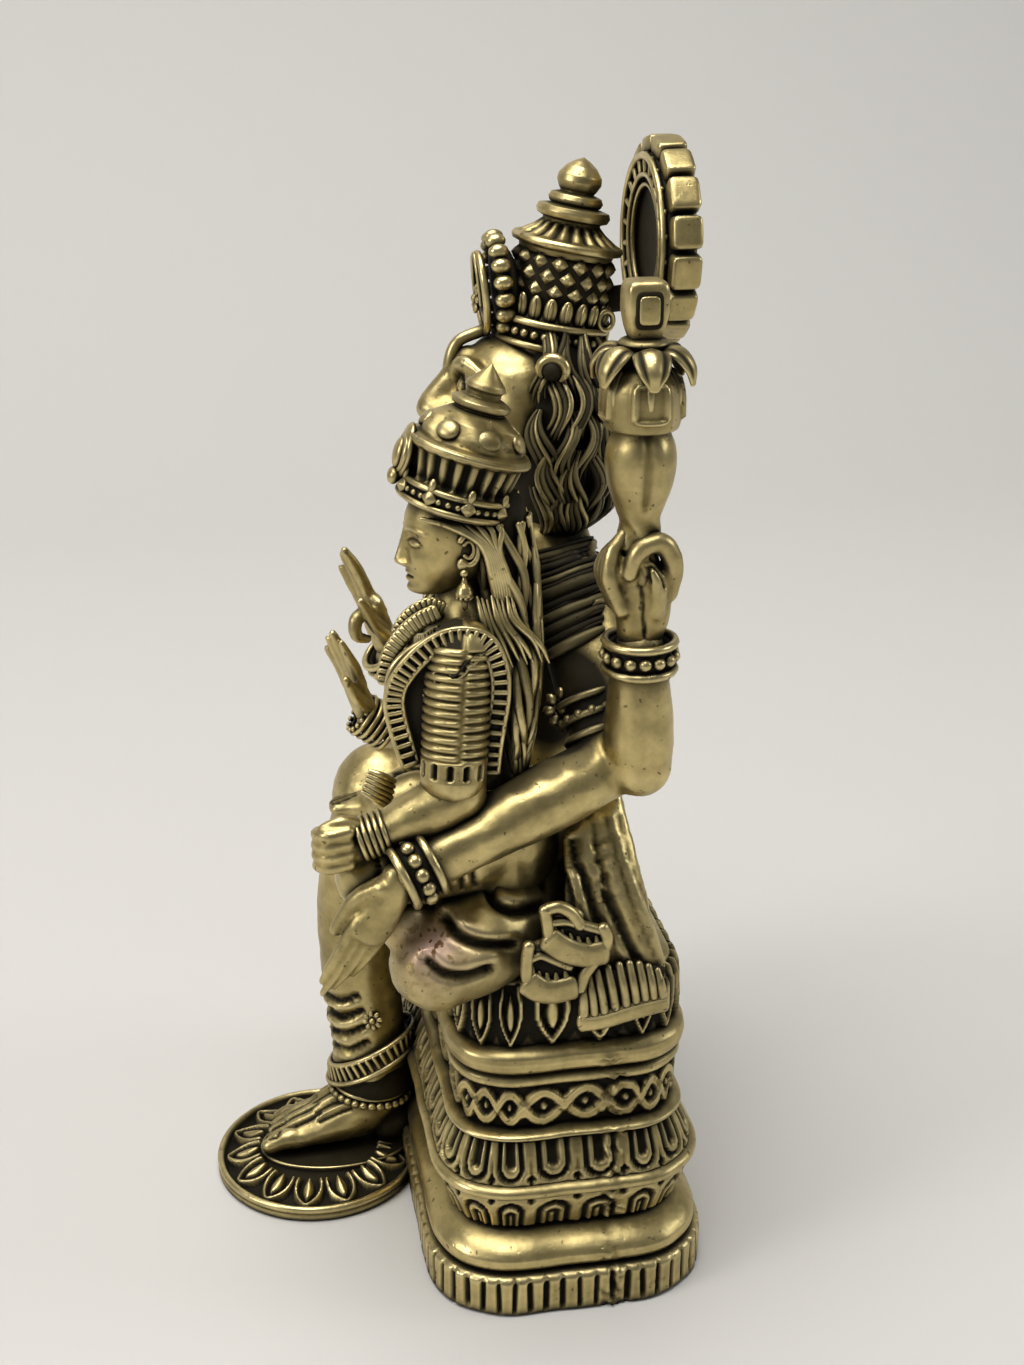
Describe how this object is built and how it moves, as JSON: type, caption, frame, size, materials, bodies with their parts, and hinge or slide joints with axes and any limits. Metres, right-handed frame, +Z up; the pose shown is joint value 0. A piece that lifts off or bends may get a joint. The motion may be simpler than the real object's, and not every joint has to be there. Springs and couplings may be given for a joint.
{
  "type": "narasimha statue",
  "caption": "Small cast brass idol of the lion-headed god Narasimha enthroned on a carved lotus plinth, with his consort seated on his thigh and a lotus rest under his foot.",
  "frame": {"origin": "centre of the plinth's flat underside, on the surface the idol stands on", "axes": "+Z up, -Y the way the idol faces, +X the idol's own left side"},
  "size_m": [0.078, 0.0668, 0.15],
  "materials": {
    "brass": "antiqued, dark patina in the recesses and worn pale gold on the high carving"
  },
  "bodies": {
    "root": {"narasimha_statue": "brass"}
  },
  "joints": []
}
